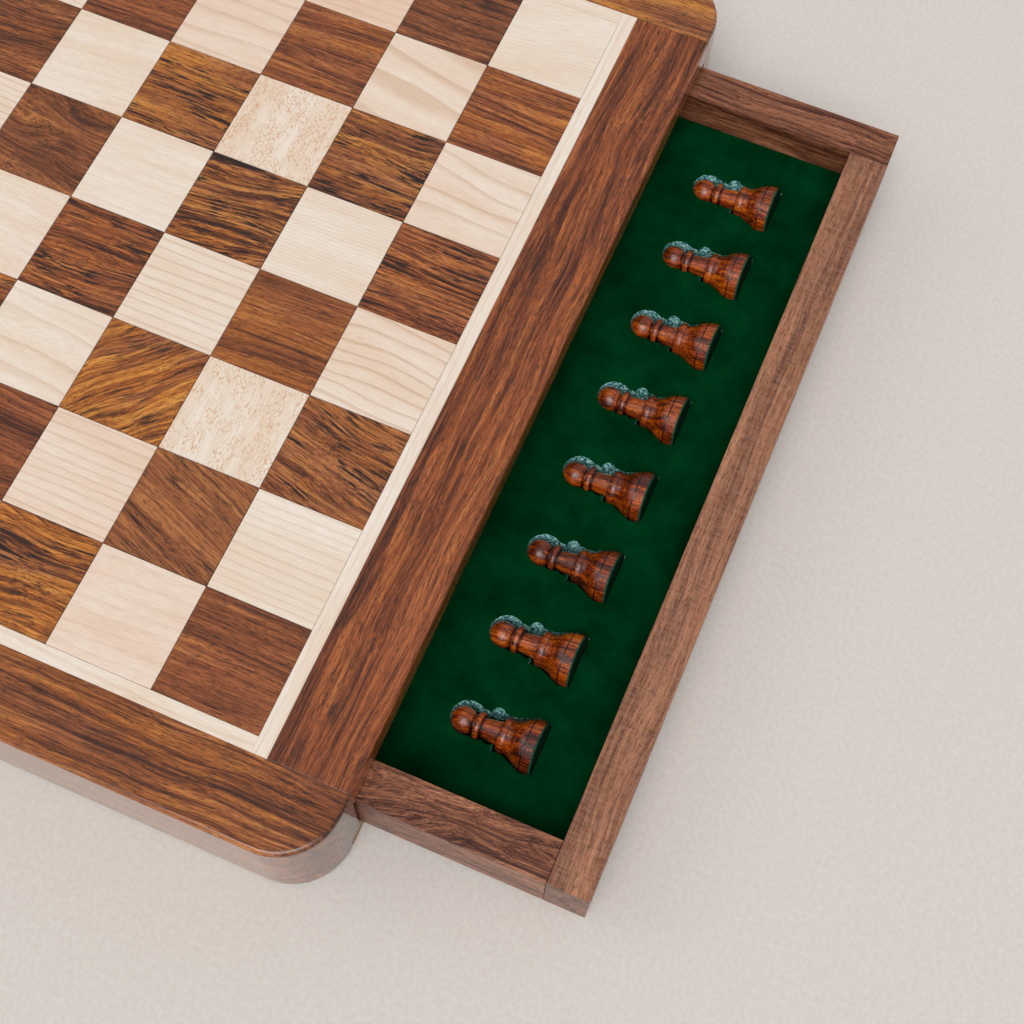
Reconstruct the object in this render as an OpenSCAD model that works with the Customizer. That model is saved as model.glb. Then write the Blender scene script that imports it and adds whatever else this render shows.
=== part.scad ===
// Inlaid chess box with two drawers and a set of turned chessmen.
// Millimetres, +Z up. The origin is the middle of the box, on the surface it stands on.
// The drawers run out along X, one on each side, and both stand open_at_rest out of the box.
// The dark men lie in the right drawer (+X), the pale men in the left one.

/* [Board] */
// Side of one square of the board
square_size = 31; // [27:0.5:38]
// Glue line between neighbouring squares
joint_line = 0.2; // [0.1:0.05:0.4]
// Thickness of the inlaid squares and border strips
inlay_t = 3.5; // [2:0.5:5]
// Width of the pale strips round the squares
border_w = 4.5; // [3:0.5:8]
// Thickness of the board under the squares
core_t = 6; // [5:0.5:9]

/* [Case] */
// Height of the box
case_h = 38; // [36:0.5:50]
// Width of the near and far rails, which run the full width and height of the box
end_rail_w = 22.5; // [20:0.5:32]
// Width of the left and right rails, which cover the drawers
side_rail_w = 23.5; // [16:0.5:32]
// Radius of the box's upright corners
corner_r = 17; // [8:0.5:18]
// Radius of the outer top edge
arris_r = 1.5; // [0.5:0.25:3]
// Thickness of the base panel
base_t = 3; // [3:0.5:5]
// How far the base panel reaches under the near and far rails
base_lap = 5; // [3:0.5:10]
// Thickness of the felt under the box
felt_t = 1; // [0.6:0.1:2]
// How far the felt stays back from the box's outer face
felt_inset = 0.4; // [0.2:0.1:2]
// Thickness of the tongue round the core
tongue_t = 3; // [2:0.5:4]
// How far the tongue reaches into the rails
tongue_w = 4; // [3:0.5:6]
// Glue gap all round the tongue and the base panel in their slots
slot_gap = 0.1; // [0.05:0.05:0.3]
// Thickness of the partition between the two drawer bays
partition_t = 12; // [8:1:20]

/* [Drawers] */
// How far each drawer stands out of the box
open_at_rest = 65; // [0:5:120]
// Thickness of the drawer's four walls
wall_t = 12; // [8:0.5:14]
// Thickness of the drawer's bottom
bottom_t = 3; // [2:0.5:4]
// How far the bottom reaches under the walls
bottom_lap = 6; // [4:0.5:8]
// Gap between each drawer side and the rail beside it
side_gap = 1; // [0.5:0.25:2]
// Gap between the drawer's rim and the board above it
top_gap = 1; // [0.5:0.25:2]
// Gap between the drawer and the base panel it runs on
run_gap = 0.5; // [0.3:0.1:1]
// Gap between the closed drawer and the partition
back_gap = 1; // [0.5:0.5:4]

/* [Tray] */
// Thickness of the velvet-covered foam
tray_t = 8.5; // [6:0.5:10]
// Gap between the tray and the drawer's walls
tray_gap = 0.2; // [0.1:0.1:0.6]
// Foam left under each pocket
pocket_floor = 0.5; // [0.4:0.1:1.5]
// Room between a man and the wall of its pocket
pocket_gap = 0.4; // [0.3:0.1:0.8]
// Room between a man's foot and the end of its pocket
foot_gap = 0.1; // [0.1:0.1:1]
// How much higher the pocket's floor is under a man's head than under its foot
head_rest = 1.8; // [1:0.1:2.4]
// From the end of the tray to the axis of the man nearest to it
row_end = 22.2; // [18:0.2:26]
// From the drawer's front face to the bases of the pawns
pawn_row = 27.5; // [26:0.5:30]
// From the drawer's front face to the bases of the other men
back_row = 73; // [70:0.5:76]
// Radius of the finger notches beside a pawn's neck
notch_r = 1.9; // [1.2:0.1:2.4]
// How far the notches' middles lie from the middle of the pocket
notch_out = 3.6; // [3:0.1:4.2]
// How far a pawn's axis lies from the middle of its pocket, toward the near side
pawn_slip = 1; // [0:0.1:1.2]
// Diameter of the round well about a pawn's head
well_d = 11; // [9.6:0.1:11.6]
// Gap under a man where it lies on the pocket's floor
lie_gap = 0.1; // [0.05:0.05:0.3]

/* [Turning, the same on all men] */
// Thickness of the felt disc under a man
disc_t = 0.4; // [0.3:0.1:1]
// How far the felt disc stays inside the foot's edge
disc_inset = 0.25; // [0.1:0.05:1]
// Height of the foot
foot_h = 2.6; // [2:0.1:3.2]
// Depth of the groove cut round the foot
groove_depth = 0.6; // [0.3:0.1:1]
// Height of that groove
groove_h = 0.4; // [0.2:0.1:0.8]
// How much narrower the foot is at its top than at its bottom, on each side
foot_taper = 0.2; // [0:0.05:0.5]
// How far the bell bows out above the foot and in below the ring
bell_bow = 0.25; // [0.1:0.05:0.4]
// Height of the ring on the bell
ring_h = 2.2; // [1.6:0.1:3]
// How far the ring stands out from the bell
ring_step = 0.25; // [0.1:0.05:0.5]
// Height of a collar
collar_h = 2; // [1.4:0.1:2.6]
// How far the edge of a ring or collar bows out
bead_bow = 0.4; // [0.3:0.05:0.6]

/* [Turning of the men behind the pawns] */
// Height at which the bell of a man meets its ring
man_bell_h = 10.4; // [9:0.1:11.5]
// Diameter of a man's ring and lower collar
man_ring_d = 11.4; // [10.4:0.1:12]

/* [Pawn] */
// Diameter of the pawn's foot
pawn_d = 15.6; // [14.6:0.1:17]
// Height at which the pawn's bell meets its ring
pawn_bell_h = 9; // [8:0.1:9.4]
// Diameter of the pawn's ring
pawn_ring_d = 10.3; // [9.2:0.1:10.8]
// Diameter of the pawn's waist, where it rises from the ring
pawn_waist_d = 7.4; // [6.6:0.1:8]
// Diameter of the pawn's neck under the collar
pawn_neck_d = 5.4; // [5:0.1:6.2]
// Height of the underside of the pawn's collar
pawn_collar_at = 17.1; // [16:0.1:17.4]
// Height of the pawn's collar
pawn_collar_h = 1.6; // [1.4:0.1:2]
// Diameter of the pawn's collar
pawn_collar_d = 8.2; // [7:0.1:8.6]
// Diameter of the pawn's head
pawn_head_d = 7.8; // [7:0.1:8.4]
// Height of the middle of the pawn's head
pawn_head_at = 22.5; // [22:0.1:23]

/* [Rook] */
// Diameter of the rook's foot
rook_d = 17.6; // [16:0.1:18.4]
// Diameter of the rook's neck
rook_neck_d = 8; // [6:0.1:9]
// Height of the underside of the rook's collar
rook_collar_at = 20.5; // [18:0.1:22]
// Diameter of the rook's tower head
rook_head_d = 12.4; // [11:0.1:13]
// Height of the rook
rook_h = 30; // [28:0.5:34]
// Depth of the cut between the rook's battlements
rook_notch = 2; // [1:0.1:3]

/* [Knight] */
// Diameter of the knight's foot
knight_d = 17.6; // [16:0.1:18.4]
// Thickness of the carved horse
horse_t = 8; // [6:0.2:9]
// Height of the knight to the tips of its ears
knight_h = 36; // [34:0.5:40]

/* [Bishop] */
// Diameter of the bishop's foot
bishop_d = 17.6; // [16:0.1:18.4]
// Diameter of the bishop's neck
bishop_neck_d = 6.4; // [5:0.1:8]
// Height of the underside of the bishop's collar
bishop_collar_at = 22; // [20:0.1:24]
// Diameter of the bishop's mitre
mitre_d = 10.4; // [9:0.1:11]
// Height of the bishop without its bead
bishop_h = 35.6; // [34:0.2:38]
// Width of the cut in the mitre
mitre_cut = 1; // [0.6:0.1:1.6]

/* [Queen] */
// Diameter of the queen's foot
queen_d = 18.2; // [17:0.1:18.8]
// Diameter of the queen's neck
queen_neck_d = 6.8; // [5:0.1:8]
// Height of the underside of the queen's collar
queen_collar_at = 26; // [24:0.1:28]
// Diameter of the queen's coronet
coronet_d = 12.6; // [11:0.1:13]
// Height of the coronet's rim
coronet_at = 39.5; // [38:0.5:41]

/* [King] */
// Diameter of the king's foot
king_d = 18.4; // [17:0.1:18.8]
// Diameter of the king's neck
king_neck_d = 7; // [5:0.1:8]
// Height of the underside of the king's collar
king_collar_at = 28; // [26:0.1:30]
// Diameter of the king's crown
crown_d = 12; // [11:0.1:13]
// Height of the crown's rim
crown_at = 41.5; // [40:0.5:43]
// Height of the cross on the crown
cross_h = 5.6; // [4:0.2:6]
// Thickness of the cross
cross_t = 1.8; // [1.2:0.1:2.4]

/* [Hidden] */
MEN = ["rook_1", "knight_1", "bishop_1", "queen", "king", "bishop_2", "knight_2", "rook_2"];
PAWNS = [for (number = [1:8]) str("pawn_", number)];
CASE = [
    "near_rail", "far_rail", "right_top_rail", "left_top_rail",
    "near_border_strip", "far_border_strip", "right_border_strip", "left_border_strip",
    "light_squares", "dark_squares", "board_core", "centre_partition", "base_panel", "base_felt"
];
DRAWER = ["front", "back", "near_side", "far_side", "bottom", "velvet_tray"];

$fn = 64;
SHEESHAM = "#7b4a2c";
SHEESHAM_DARK = "#5f3820";
MAPLE = "#e6d5b8";
PLYWOOD = "#c8a67c";
FELT = "#1d6b38";
VELVET = "#013a1c";
DARK_MEN = "#6d2c14";
LIGHT_MEN = "#d8b47c";

// A length that only carries a cut past the face it cuts.
past = 1;
files = 8;
field = files * square_size;
inner = field + 2 * border_w;
case_x = inner + 2 * side_rail_w;
case_y = inner + 2 * end_rail_w;
top_t = inlay_t + core_t;
bay_floor = felt_t + base_t;
bay_top = case_h - top_t;
inlay_at = case_h - inlay_t;
tongue_at = bay_top + (core_t - tongue_t) / 2;

drawer_w = inner - 2 * side_gap;
drawer_len = (case_x - partition_t) / 2 - back_gap;
drawer_at = bay_floor + run_gap;
drawer_h = bay_top - top_gap - drawer_at;
tray_at = drawer_at + bottom_t;
pocket_at = tray_at + pocket_floor;
tray_len = drawer_len - 2 * (wall_t + tray_gap);
tray_w = drawer_w - 2 * (wall_t + tray_gap);
pitch = (tray_w - 2 * row_end) / (files - 1);

foot_top = disc_t + foot_h;

// ---- Rounded case ----

// Section of a rail whose outer top edge is rounded: w wide out to its outer face, h high.
module rail_section(w, h) {
    square([w - arris_r, h]);
    square([w, h - arris_r]);
    translate([w - arris_r, h - arris_r]) circle(arris_r);
}

// A straight run of that section along Y, centred, with its outer face toward +X.
module rail_run(length, w, h) {
    translate([0, length / 2, 0])
        rotate([90, 0, 0])
            linear_extrude(length)
                rail_section(w, h);
}

// A near or far rail, drawn with its outer face toward +X and its length along Y.
module end_rail() {
    rail_h = case_h - felt_t;
    centre_x = case_y / 2 - corner_r;
    centre_y = case_x / 2 - corner_r;
    shoulder = end_rail_w - corner_r;
    difference() {
        translate([0, 0, felt_t]) {
            translate([inner / 2, 0, 0]) rail_run(2 * centre_y, end_rail_w, rail_h);
            for (side = [-1, 1]) {
                translate([centre_x, side * centre_y, 0])
                    rotate([0, 0, side > 0 ? 0 : -90])
                        rotate_extrude(angle = 90)
                            rail_section(corner_r, rail_h);
                translate([inner / 2 + shoulder / 2, side * centre_y, 0])
                    rotate([0, 0, side * 90])
                        rail_run(shoulder, corner_r, rail_h);
            }
        }
        base_slot();
        tongue_slot();
    }
}

// The box seen from above, with every edge brought in by inset.
module footprint(inset = 0) {
    r = corner_r - inset;
    x = case_x / 2 - corner_r;
    y = case_y / 2 - corner_r;
    square([2 * x, 2 * (y + r)], center = true);
    square([2 * (x + r), 2 * y], center = true);
    for (i = [-1, 1], j = [-1, 1])
        translate([i * x, j * y]) circle(r);
}

// The room that the base panel takes out of the rails above it.
module base_slot() {
    reach = inner / 2 + base_lap + slot_gap;
    translate([-reach, -case_x / 2 - past, felt_t - past])
        cube([2 * reach, case_x + 2 * past, base_t + slot_gap + past]);
}

// The room that the core's tongue takes out of the rails round it.
module tongue_slot() {
    reach = inner / 2 + tongue_w + slot_gap;
    translate([-reach, -reach, tongue_at - slot_gap])
        cube([2 * reach, 2 * reach, tongue_t + 2 * slot_gap]);
}

module near_rail() {
    color(SHEESHAM) rotate([0, 0, -90]) end_rail();
}

module far_rail() {
    color(SHEESHAM) rotate([0, 0, 90]) end_rail();
}

// A rail over a drawer, between the near and far rails, drawn on the +X side.
module side_rail() {
    difference() {
        translate([inner / 2, 0, bay_top]) rail_run(inner, side_rail_w, top_t);
        tongue_slot();
    }
}

module right_top_rail() {
    color(SHEESHAM) side_rail();
}

module left_top_rail() {
    color(SHEESHAM) rotate([0, 0, 180]) side_rail();
}

// ---- Playing surface ----

// The left and right strips run through, and the near and far ones butt between them.
module through_strip() {
    translate([field / 2, -inner / 2, inlay_at]) cube([border_w, inner, inlay_t]);
}

module butted_strip() {
    translate([-field / 2, field / 2, inlay_at]) cube([field, border_w, inlay_t]);
}

module near_border_strip() {
    color(MAPLE) rotate([0, 0, 180]) butted_strip();
}

module far_border_strip() {
    color(MAPLE) butted_strip();
}

module right_border_strip() {
    color(MAPLE) through_strip();
}

module left_border_strip() {
    color(MAPLE) rotate([0, 0, 180]) through_strip();
}

// The squares of one colour. The right-hand corner square nearest the player is dark.
module squares(parity) {
    side = square_size - joint_line;
    for (column = [0:files - 1], row = [0:files - 1])
        if ((column + row) % 2 == parity)
            translate([
                column * square_size - field / 2 + joint_line / 2,
                row * square_size - field / 2 + joint_line / 2,
                inlay_at
            ])
                cube([side, side, inlay_t]);
}

module dark_squares() {
    color(SHEESHAM_DARK) squares(1);
}

module light_squares() {
    color(MAPLE) squares(0);
}

// The board that carries the inlay, with a tongue all round.
module board_core() {
    reach = inner / 2 + tongue_w;
    color(PLYWOOD) {
        translate([-inner / 2, -inner / 2, bay_top]) cube([inner, inner, core_t]);
        translate([-reach, -reach, tongue_at]) cube([2 * reach, 2 * reach, tongue_t]);
    }
}

// ---- Underside and middle ----

module centre_partition() {
    color(PLYWOOD)
        translate([-partition_t / 2, -inner / 2, bay_floor])
            cube([partition_t, inner, bay_top - bay_floor]);
}

module base_panel() {
    color(PLYWOOD)
        translate([0, 0, felt_t])
            linear_extrude(base_t)
                intersection() {
                    footprint();
                    square([case_x, inner + 2 * base_lap], center = true);
                }
}

module base_felt() {
    color(FELT) linear_extrude(felt_t) footprint(felt_inset);
}

// ---- Drawers ----
// A drawer is drawn with its front face at X = 0 and its back toward -X. Each wall runs past
// the end of one neighbour and butts against the other: front, far side, back, near side.

module in_drawer(side) {
    rotate([0, 0, side == "right" ? 0 : 180])
        translate([case_x / 2 + open_at_rest, 0, 0])
            children();
}

module drawer_wall(corner, size) {
    difference() {
        translate([corner.x, corner.y, drawer_at]) cube([size.x, size.y, drawer_h]);
        drawer_bottom_slab(slot_gap);
    }
}

// The bottom lies in a rebate under the walls. grow makes the rebate's room round it.
module drawer_bottom_slab(grow = 0) {
    x = wall_t - bottom_lap - grow;
    low = grow > 0 ? past : 0;
    translate([-drawer_len + x, -drawer_w / 2 + x, drawer_at - low])
        cube([drawer_len - 2 * x, drawer_w - 2 * x, bottom_t + grow + low]);
}

module drawer_front() {
    drawer_wall([-wall_t, -drawer_w / 2], [wall_t, drawer_w - wall_t]);
}

module drawer_far_side() {
    drawer_wall([-drawer_len + wall_t, drawer_w / 2 - wall_t], [drawer_len - wall_t, wall_t]);
}

module drawer_back() {
    drawer_wall([-drawer_len, -drawer_w / 2 + wall_t], [wall_t, drawer_w - wall_t]);
}

module drawer_near_side() {
    drawer_wall([-drawer_len, -drawer_w / 2], [drawer_len - wall_t, wall_t]);
}

function file_y(file) = (file - (files - 1) / 2) * pitch;

// Velvet-covered foam with a fitted pocket for each man. The foot's part of a pocket is deeper.
module velvet_tray() {
    difference() {
        translate([-drawer_len + wall_t + tray_gap, -tray_w / 2, tray_at])
            cube([tray_len, tray_w, tray_t]);
        translate([0, 0, pocket_at])
            linear_extrude(tray_t)
                for (file = [0:files - 1]) {
                    in_file(pawn_row, file) pocket_foot(pawn_d, pawn_bell_h, pawn_ring_d, pawn_tilt);
                    in_file(back_row, file) man_pocket_foot(MEN[file]);
                }
        translate([0, 0, pocket_at + head_rest])
            linear_extrude(tray_t)
                for (file = [0:files - 1]) {
                    in_file(pawn_row, file) pawn_pocket();
                    in_file(back_row, file) man_pocket(MEN[file]);
                }
    }
}

// A man's place in the tray, with x from its base toward its head.
module in_file(row, file) {
    translate([-row, file_y(file)]) mirror([1, 0]) children();
}

// ---- Turned profiles: half sections, x out from the axis and y up it ----

// A disc with a bowed edge, such as a ring or a collar.
module bead(d, h, at) {
    r = (h * h / 4 + bead_bow * bead_bow) / (2 * bead_bow);
    translate([0, at]) square([d / 2 - bead_bow, h]);
    intersection() {
        translate([d / 2 - r, at + h / 2]) circle(r);
        translate([0, at]) square([d, h]);
    }
}

// A circle through p and q whose arc stands off their straight line by bow, on its right
// hand as one looks from p to q. The result is [centre, radius].
function bow_circle(p, q, bow) =
    let (
        chord = q - p,
        half = norm(chord) / 2,
        r = (half * half + bow * bow) / (2 * bow),
        out = [chord.y, -chord.x] / norm(chord)
    )
    [(p + q) / 2 - out * (r - bow), r];

// An S-shaped flank from d_low at y = low up to d_high at y = high. It bows out, then in.
module ogee(d_low, low, d_high, high) {
    start = [d_low / 2, low];
    end = [d_high / 2, high];
    outer = bow_circle(start - (end - start) * 0.05, start + (end - start) * 0.5, bell_bow);
    hollow = bow_circle(end + (end - start) * 0.05, start + (end - start) * 0.55, bell_bow);
    difference() {
        union() {
            taper(d_low, low, d_high, high);
            intersection() {
                translate(outer[0]) circle(outer[1]);
                translate([0, low]) square([d_low, high - low]);
            }
        }
        translate(hollow[0]) circle(hollow[1]);
    }
}

// Foot, groove, bell and ring, the same on every man.
module foot_and_bell(d, bell_h, ring_d) {
    groove_d = d - 2 * (foot_taper + groove_depth);
    taper(d, disc_t, d - 2 * foot_taper, foot_top);
    translate([0, foot_top]) square([groove_d / 2, groove_h]);
    ogee(groove_d + groove_depth, foot_top + groove_h, ring_d - 2 * ring_step, bell_h);
    bead(ring_d, ring_h, bell_h);
}

// A hollow-sided stem from d_low at y = low, narrowing to d_high at y = high.
module stem(d_low, low, d_high, high) {
    step = (d_low - d_high) / 2;
    r = (step * step + (high - low) * (high - low)) / (2 * step);
    difference() {
        translate([0, low]) square([d_low / 2, high - low]);
        translate([d_high / 2 + r, high]) circle(r);
    }
}

// A straight taper from d_low at y = low to d_high at y = high.
module taper(d_low, low, d_high, high) {
    polygon([[0, low], [d_low / 2, low], [d_high / 2, high], [0, high]]);
}

module turn() {
    rotate_extrude() intersection() {
        children();
        square([2 * king_d, 2 * crown_at]);
    }
}

module felt_disc(d) {
    color(FELT) cylinder(h = disc_t, d = d - 2 * disc_inset);
}

// ---- Men, standing on the table ----

stem_low_share = 0.86;
second_collar_h = 1.4;
cross_at = crown_at + crown_d / 10;

// A wide collar with a smaller one on it.
module double_collar(at) {
    bead(man_ring_d, collar_h, at);
    bead(man_ring_d - collar_h, second_collar_h, at + collar_h);
}

module pawn(wood) {
    felt_disc(pawn_d);
    color(wood) turn() {
        foot_and_bell(pawn_d, pawn_bell_h, pawn_ring_d);
        taper(pawn_waist_d, pawn_bell_h + ring_h / 2, pawn_neck_d, pawn_collar_at);
        bead(pawn_collar_d, pawn_collar_h, pawn_collar_at);
        taper(pawn_neck_d, pawn_collar_at, pawn_neck_d * 0.8, pawn_head_at);
        translate([0, pawn_head_at]) circle(d = pawn_head_d);
    }
}

module rook(wood) {
    wall = 2.1;
    head_at = rook_collar_at + collar_h;
    felt_disc(rook_d);
    color(wood) difference() {
        turn() {
            foot_and_bell(rook_d, man_bell_h, man_ring_d);
            stem(man_ring_d * stem_low_share, man_bell_h + ring_h / 2, rook_neck_d, rook_collar_at);
            bead(man_ring_d, collar_h, rook_collar_at);
            taper(rook_neck_d, head_at - collar_h / 2, rook_head_d, head_at + second_collar_h);
            translate([0, head_at + second_collar_h])
                square([rook_head_d / 2, rook_h - head_at - second_collar_h]);
        }
        translate([0, 0, rook_h - rook_notch - past])
            cylinder(h = rook_notch + 2 * past, d = rook_head_d - 2 * wall);
        for (turned = [0, 60, 120])
            rotate([0, 0, turned])
                translate([-rook_head_d, -wall / 2, rook_h - rook_notch])
                    cube([2 * rook_head_d, wall, rook_notch + past]);
    }
}

// The mitre is the overlap of two arcs, so it comes to a point at the top.
mitre_half = (bishop_h - bishop_collar_at - collar_h) * 0.6;
mitre_at = bishop_h - mitre_half;
mitre_r = (mitre_half * mitre_half + mitre_d * mitre_d / 4) / mitre_d;
mitre_bead_d = 2.8;

module mitre() {
    low = bishop_collar_at + collar_h;
    intersection() {
        translate([mitre_d / 2 - mitre_r, mitre_at]) circle(mitre_r);
        translate([0, low]) square([mitre_d, bishop_h - low]);
    }
}

module bishop(wood) {
    cut_slope = 50;
    felt_disc(bishop_d);
    color(wood) difference() {
        turn() {
            foot_and_bell(bishop_d, man_bell_h, man_ring_d);
            stem(man_ring_d * stem_low_share, man_bell_h + ring_h / 2, bishop_neck_d, bishop_collar_at);
            bead(mitre_d, collar_h, bishop_collar_at);
            mitre();
            translate([0, bishop_h]) circle(d = mitre_bead_d);
        }
        translate([0, 0, mitre_at])
            rotate([0, cut_slope, 0])
                translate([-mitre_d, -mitre_d, 0])
                    cube([mitre_d, 2 * mitre_d, mitre_cut]);
    }
}

module queen(wood) {
    points = 8;
    rim = 1.2;
    dome_d = coronet_d - 5;
    ball_d = 4.2;
    felt_disc(queen_d);
    color(wood) {
        difference() {
            turn() {
                foot_and_bell(queen_d, man_bell_h, man_ring_d);
                stem(man_ring_d * stem_low_share, man_bell_h + ring_h / 2, queen_neck_d, queen_collar_at);
                double_collar(queen_collar_at);
                taper(queen_neck_d, queen_collar_at + collar_h, coronet_d, coronet_at);
            }
            translate([0, 0, coronet_at]) sphere(d = coronet_d - 2 * rim);
            for (i = [0:points - 1])
                rotate([0, 0, i * 360 / points])
                    translate([coronet_d / 2, 0, coronet_at])
                        rotate([0, 90, 0])
                            cylinder(h = 3 * rim, r = rim, center = true);
        }
        translate([0, 0, coronet_at - dome_d / 4]) sphere(d = dome_d);
        translate([0, 0, coronet_at + (dome_d + ball_d) / 3.3]) sphere(d = ball_d);
    }
}

module king(wood) {
    rim = 0.8;
    dome_r = crown_d / 2 + 0.6;
    felt_disc(king_d);
    color(wood) {
        turn() {
            foot_and_bell(king_d, man_bell_h, man_ring_d);
            stem(man_ring_d * stem_low_share, man_bell_h + ring_h / 2, king_neck_d, king_collar_at);
            double_collar(king_collar_at);
            taper(king_neck_d, king_collar_at + collar_h, crown_d, crown_at);
            intersection() {
                translate([0, crown_at - dome_r * 2 / 3]) circle(dome_r);
                translate([0, crown_at]) square([crown_d / 2 - rim, crown_d]);
            }
        }
        cross();
    }
}

// A flat cross standing on the crown's dome.
module cross() {
    arm = cross_h / 3.2;
    span = cross_h * 0.84;
    translate([0, cross_t / 2, cross_at])
        rotate([90, 0, 0])
            linear_extrude(cross_t) {
                translate([-arm / 2, 0]) square([arm, cross_h]);
                translate([-span / 2, (cross_h - arm) / 2]) square([span, arm]);
            }
}

ears_t = horse_t * 0.65;
nose_out = 8.2;
mane_out = 6.2;
muzzle_at = knight_h * 2 / 3;
muzzle_r = 5.2;

// The horse's outline, facing +X: chest, throat, muzzle, brow, ears and mane.
module horse_outline() {
    base_z = man_bell_h + ring_h;
    top = knight_h - base_z;
    difference() {
        translate([0, base_z])
            polygon([
                [-5.2, -1.4], [5.2, -1.4], [5.2, 0.6], [3.4, top * 0.30], [2.8, top * 0.42],
                [6.6, top * 0.34], [nose_out, top * 0.42], [nose_out - 0.2, top * 0.56], [3.2, top * 0.86],
                [2.4, top], [1.0, top * 0.90], [0.2, top * 0.97], [-3.0, top * 0.84],
                [0.8 - mane_out, top * 0.62], [-mane_out, top * 0.34]
            ]);
        translate([6.4, base_z + top * 0.18]) circle(d = 5.2);
        translate([-9.4, base_z + top * 0.10]) circle(d = 7.6);
    }
}

// The carved head: its outline seen from the side, thinned toward the ears.
module horse() {
    eye_d = 1.2;
    bust_h = knight_h - man_bell_h - ring_h;
    eye_at = [3.6, knight_h - bust_h * 0.32];
    difference() {
        intersection() {
            translate([0, horse_t / 2, 0])
                rotate([90, 0, 0])
                    linear_extrude(horse_t)
                        horse_outline();
            translate([-knight_d, 0, 0])
                rotate([90, 0, 90])
                    linear_extrude(2 * knight_d)
                        polygon([
                            [-horse_t / 2, 0], [horse_t / 2, 0], [horse_t / 2, knight_h - bust_h / 2],
                            [ears_t / 2, knight_h], [-ears_t / 2, knight_h],
                            [-horse_t / 2, knight_h - bust_h / 2]
                        ]);
        }
        for (side = [-1, 1])
            translate([eye_at.x, side * horse_t / 2, eye_at.y]) sphere(d = eye_d);
    }
}

module knight(wood) {
    felt_disc(knight_d);
    color(wood) {
        turn() foot_and_bell(knight_d, man_bell_h, man_ring_d);
        horse();
    }
}

// ---- Men lying in their pockets, head toward the box ----

// Tilt at which the foot's top edge and the head both touch the floor, at height at on the man.
// The head touches with a ball of radius ball_r, or a rim where that is 0, rim_r off the axis.
function tilt_on(foot_d, at, rim_r, ball_r) =
    let (reach = [at - foot_top, foot_d / 2 - foot_taper - rim_r])
    acos((ball_r + head_rest) / norm(reach)) - atan2(reach.x, reach.y);

pawn_tilt = tilt_on(pawn_d, pawn_head_at, 0, pawn_head_d / 2);

function foot_of(man) =
    man == "queen" ? queen_d :
    man == "king" ? king_d :
    man[0] == "r" ? rook_d :
    man[0] == "k" ? knight_d :
    bishop_d;

function tilt_of(man) =
    man == "queen" ? tilt_on(queen_d, coronet_at, coronet_d / 2, 0) :
    man == "king" ? tilt_on(king_d, crown_at, crown_d / 2, 0) :
    man[0] == "r" ? tilt_on(rook_d, rook_h, rook_head_d / 2, 0) :
    man[0] == "k" ? tilt_on(knight_d, knight_h, ears_t / 2, 0) :
    tilt_on(bishop_d, mitre_at, mitre_d / 2 - mitre_r, mitre_r);

module lay_down(row, file, foot_d, tilt) {
    top_edge = (foot_d / 2 - foot_taper) * cos(tilt) + foot_top * sin(tilt);
    bottom_edge = foot_d / 2 * cos(tilt) + disc_t * sin(tilt);
    rest = max(top_edge, bottom_edge) + lie_gap;
    translate([-row, file_y(file), pocket_at + rest])
        rotate([0, -90 - tilt, 0])
            children();
}

module lying_pawn(file, wood) {
    lay_down(pawn_row, file, pawn_d, pawn_tilt) pawn(wood);
}

module lying_man(file, wood) {
    name = MEN[file];
    lay_down(back_row, file, foot_of(name), tilt_of(name))
        if (name == "queen") queen(wood);
        else if (name == "king") king(wood);
        else if (name[0] == "r") rook(wood);
        else if (name[0] == "k") rotate([0, 0, 90]) knight(wood);
        else bishop(wood);
}

// ---- Pockets: outlines seen from above, x from the man's base toward its head ----

// A straight stretch of pocket from x = low to x = high for a part of diameter d.
module pocket_run(low, high, d) {
    half = d / 2 + pocket_gap;
    translate([low, -half]) square([high - low, 2 * half]);
}

// The same for a part that tapers, from d_low at x = low to d_high at x = high.
module pocket_taper(d_low, low, d_high, high) {
    wide = d_low / 2 + pocket_gap;
    narrow = d_high / 2 + pocket_gap;
    polygon([[low, -wide], [high, -narrow], [high, narrow], [low, wide]]);
}

module pocket_round(at, d) {
    translate([at, 0]) circle(d = d + 2 * pocket_gap);
}

module pocket_foot(foot_d, bell_h, ring_d, tilt) {
    low = -foot_d / 2 * sin(tilt) - foot_gap;
    wide = foot_d / 2 + pocket_gap;
    narrow = ring_d / 2 + pocket_gap;
    polygon([
        [low, -wide], [foot_top, -wide], [bell_h, -narrow],
        [bell_h, narrow], [foot_top, wide], [low, wide]
    ]);
}

module man_pocket_foot(man) {
    pocket_foot(foot_of(man), man_bell_h, man_ring_d, tilt_of(man));
}

module pawn_pocket() {
    ring_end = pawn_bell_h + ring_h;
    head_end = pawn_head_at * cos(pawn_tilt) + pawn_head_d / 2 + 2 * pocket_gap;
    pocket_run(foot_top, ring_end + 3 * pocket_gap, pawn_ring_d);
    pocket_taper(pawn_waist_d, pawn_bell_h, pawn_neck_d, pawn_collar_at);
    pocket_round(pawn_collar_at + pawn_collar_h / 2, pawn_collar_d);
    translate([0, pawn_slip]) {
        translate([head_end - well_d / 2, 0]) circle(d = well_d);
        for (side = [-1, 1])
            translate([(ring_end + pawn_collar_at) / 2, side * notch_out]) circle(notch_r);
    }
}

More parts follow.
